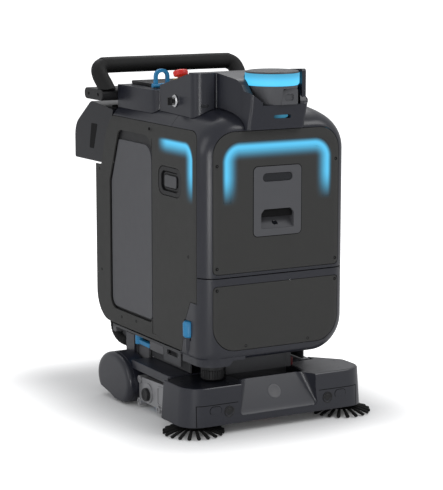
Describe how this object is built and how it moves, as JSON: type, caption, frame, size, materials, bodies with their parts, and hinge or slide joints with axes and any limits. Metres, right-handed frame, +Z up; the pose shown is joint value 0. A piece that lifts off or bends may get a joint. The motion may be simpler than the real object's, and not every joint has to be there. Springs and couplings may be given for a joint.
{
  "type": "robotic floor cleaner",
  "caption": "Compact driverless floor scrubber: tall rounded tank body, raised sensor head, push handle, low scrub deck, side brushes, sprung bumper and rear squeegee.",
  "frame": {"origin": "on the floor, below the middle of the machine's overall box", "axes": "+Z up, +Y towards the rear console, +X to the side away from the key switch"},
  "size_m": [0.614, 0.8425, 0.9378],
  "materials": {
    "shell_paint": "satin",
    "panel_charcoal": "matte",
    "insert_gray": "fine grain",
    "deck_gray": "fine grain",
    "black_plastic": "satin",
    "handle_foam": "fine grain grip",
    "black_rubber": "matte",
    "bristle": "bristle",
    "scrub_nylon": "bristle",
    "cast_aluminium": "cast",
    "coated_steel": "powder coat",
    "steel": "brushed",
    "service_blue": "satin",
    "stop_red": "gloss",
    "caster_red": "polyurethane tread",
    "stop_yellow": "gloss",
    "light_cyan": "diffuser, lit from behind",
    "dark_glass": "smoked, polished",
    "tank_plastic": "moulded"
  },
  "bodies": {
    "chassis": {"chassis_frame": "coated_steel", "upper_shell": "shell_paint", "lower_shell": "shell_paint", "upper_front_panel": "panel_charcoal", "lower_front_panel": "panel_charcoal", "front_light_strip": "light_cyan", "sensor_plate": "insert_gray", "depth_camera": "dark_glass", "left_side_panel": "panel_charcoal", "right_side_panel": "panel_charcoal", "left_light_strip": "light_cyan", "right_light_strip": "light_cyan", "left_side_camera": "black_plastic", "right_side_camera": "black_plastic", "left_side_insert": "insert_gray", "right_side_insert": "insert_gray", "rear_panel": "panel_charcoal", "battery_pack": "black_plastic", "solution_tank": "tank_plastic", "recovery_tank": "tank_plastic", "vacuum_motor": "black_plastic", "head_shell": "shell_paint", "rear_deck": "shell_paint", "lidar_pod": "insert_gray", "lidar_ring": "light_cyan", "lidar_cap": "shell_paint", "pod_camera": "insert_gray", "estop_base": "stop_yellow", "key_bezel": "steel", "handle_bar": "handle_foam", "left_handle_bracket": "black_plastic", "right_handle_bracket": "black_plastic", "console_housing": "shell_paint", "touchscreen": "dark_glass", "solution_filter": "black_plastic", "deck_cover": "shell_paint", "left_brush_motor": "black_plastic", "right_brush_motor": "black_plastic", "left_wheel_cover": "shell_paint", "right_wheel_cover": "shell_paint", "suction_hose": "black_rubber"},
    "lid": {"tank_lid": "black_plastic"},
    "latch": {"lid_latch": "service_blue"},
    "stop_button": {"estop_button": "stop_red"},
    "switch_key": {"key": "black_plastic"},
    "drain": {"drain_cap": "service_blue"},
    "valve": {"valve_lever": "service_blue"},
    "bumper": {"front_bumper": "shell_paint", "bumper_top": "deck_gray"},
    "deck": {"scrub_deck": "coated_steel", "brush_gearbox": "cast_aluminium"},
    "roller": {"scrub_brush": "scrub_nylon"},
    "left_brush": {"left_side_brush": "bristle"},
    "right_brush": {"right_side_brush": "bristle"},
    "left_wheel": {"left_drive_wheel": "black_rubber"},
    "right_wheel": {"right_drive_wheel": "black_rubber"},
    "swivel": {"caster_fork": "coated_steel"},
    "caster": {"caster_wheel": "caster_red"},
    "squeegee": {"squeegee_carrier": "coated_steel", "squeegee_blade": "black_rubber"}
  },
  "joints": [
    {"name": "lid_hinge", "type": "hinge", "parent": "chassis", "child": "lid", "pos_m": [0, 0.168, 0.869], "axis": [-1, 0, 0], "range_deg": [0, 105]},
    {"name": "latch_hinge", "type": "hinge", "parent": "chassis", "child": "latch", "pos_m": [-0.144, -0.011, 0.8745], "axis": [1, 0, 0], "range_deg": [0, 80]},
    {"name": "stop_press", "type": "slide", "parent": "chassis", "child": "stop_button", "axis": [0, -0.2345, -0.9721], "range_m": [0, 0.005], "stiffness_N_per_m": 800, "springref_m": -0.001},
    {"name": "key_turn", "type": "hinge", "parent": "chassis", "child": "switch_key", "pos_m": [-0.183, -0.163, 0.846], "axis": [-1, 0, 0], "range_deg": [0, 90]},
    {"name": "drain_cap_turn", "type": "hinge", "parent": "chassis", "child": "drain", "pos_m": [-0.2135, -0.295, 0.266], "axis": [0, 0, 1], "range_deg": [0, 90]},
    {"name": "valve_turn", "type": "hinge", "parent": "chassis", "child": "valve", "pos_m": [-0.192, 0.039, 0.17], "axis": [0, 0, -1], "range_deg": [0, 90]},
    {"name": "bumper_press", "type": "slide", "parent": "chassis", "child": "bumper", "axis": [0, 1, 0], "range_m": [0, 0.01], "stiffness_N_per_m": 1500, "springref_m": -0.004},
    {"name": "deck_lift", "type": "slide", "parent": "chassis", "child": "deck", "axis": [0, 0, 1], "range_m": [0, 0.02]},
    {"name": "scrub_spin", "type": "hinge", "parent": "deck", "child": "roller", "pos_m": [0, -0.091, 0.047], "axis": [1, 0, 0], "continuous": true},
    {"name": "left_brush_spin", "type": "hinge", "parent": "chassis", "child": "left_brush", "pos_m": [-0.226, -0.34, 0.014], "axis": [0, 0, 1], "continuous": true},
    {"name": "right_brush_spin", "type": "hinge", "parent": "chassis", "child": "right_brush", "pos_m": [0.226, -0.34, 0.014], "axis": [0, 0, -1], "continuous": true},
    {"name": "left_wheel_spin", "type": "hinge", "parent": "chassis", "child": "left_wheel", "pos_m": [-0.22, 0.081, 0.062], "axis": [1, 0, 0], "continuous": true},
    {"name": "right_wheel_spin", "type": "hinge", "parent": "chassis", "child": "right_wheel", "pos_m": [0.22, 0.081, 0.062], "axis": [1, 0, 0], "continuous": true},
    {"name": "caster_swivel", "type": "hinge", "parent": "chassis", "child": "swivel", "pos_m": [0, -0.293, 0.0755], "axis": [0, 0, 1], "continuous": true},
    {"name": "caster_spin", "type": "hinge", "parent": "swivel", "child": "caster", "pos_m": [0, -0.279, 0.026], "axis": [1, 0, 0], "continuous": true},
    {"name": "squeegee_lift", "type": "hinge", "parent": "chassis", "child": "squeegee", "pos_m": [0, 0.154, 0.095], "axis": [1, 0, 0], "range_deg": [0, 8]}
  ]
}
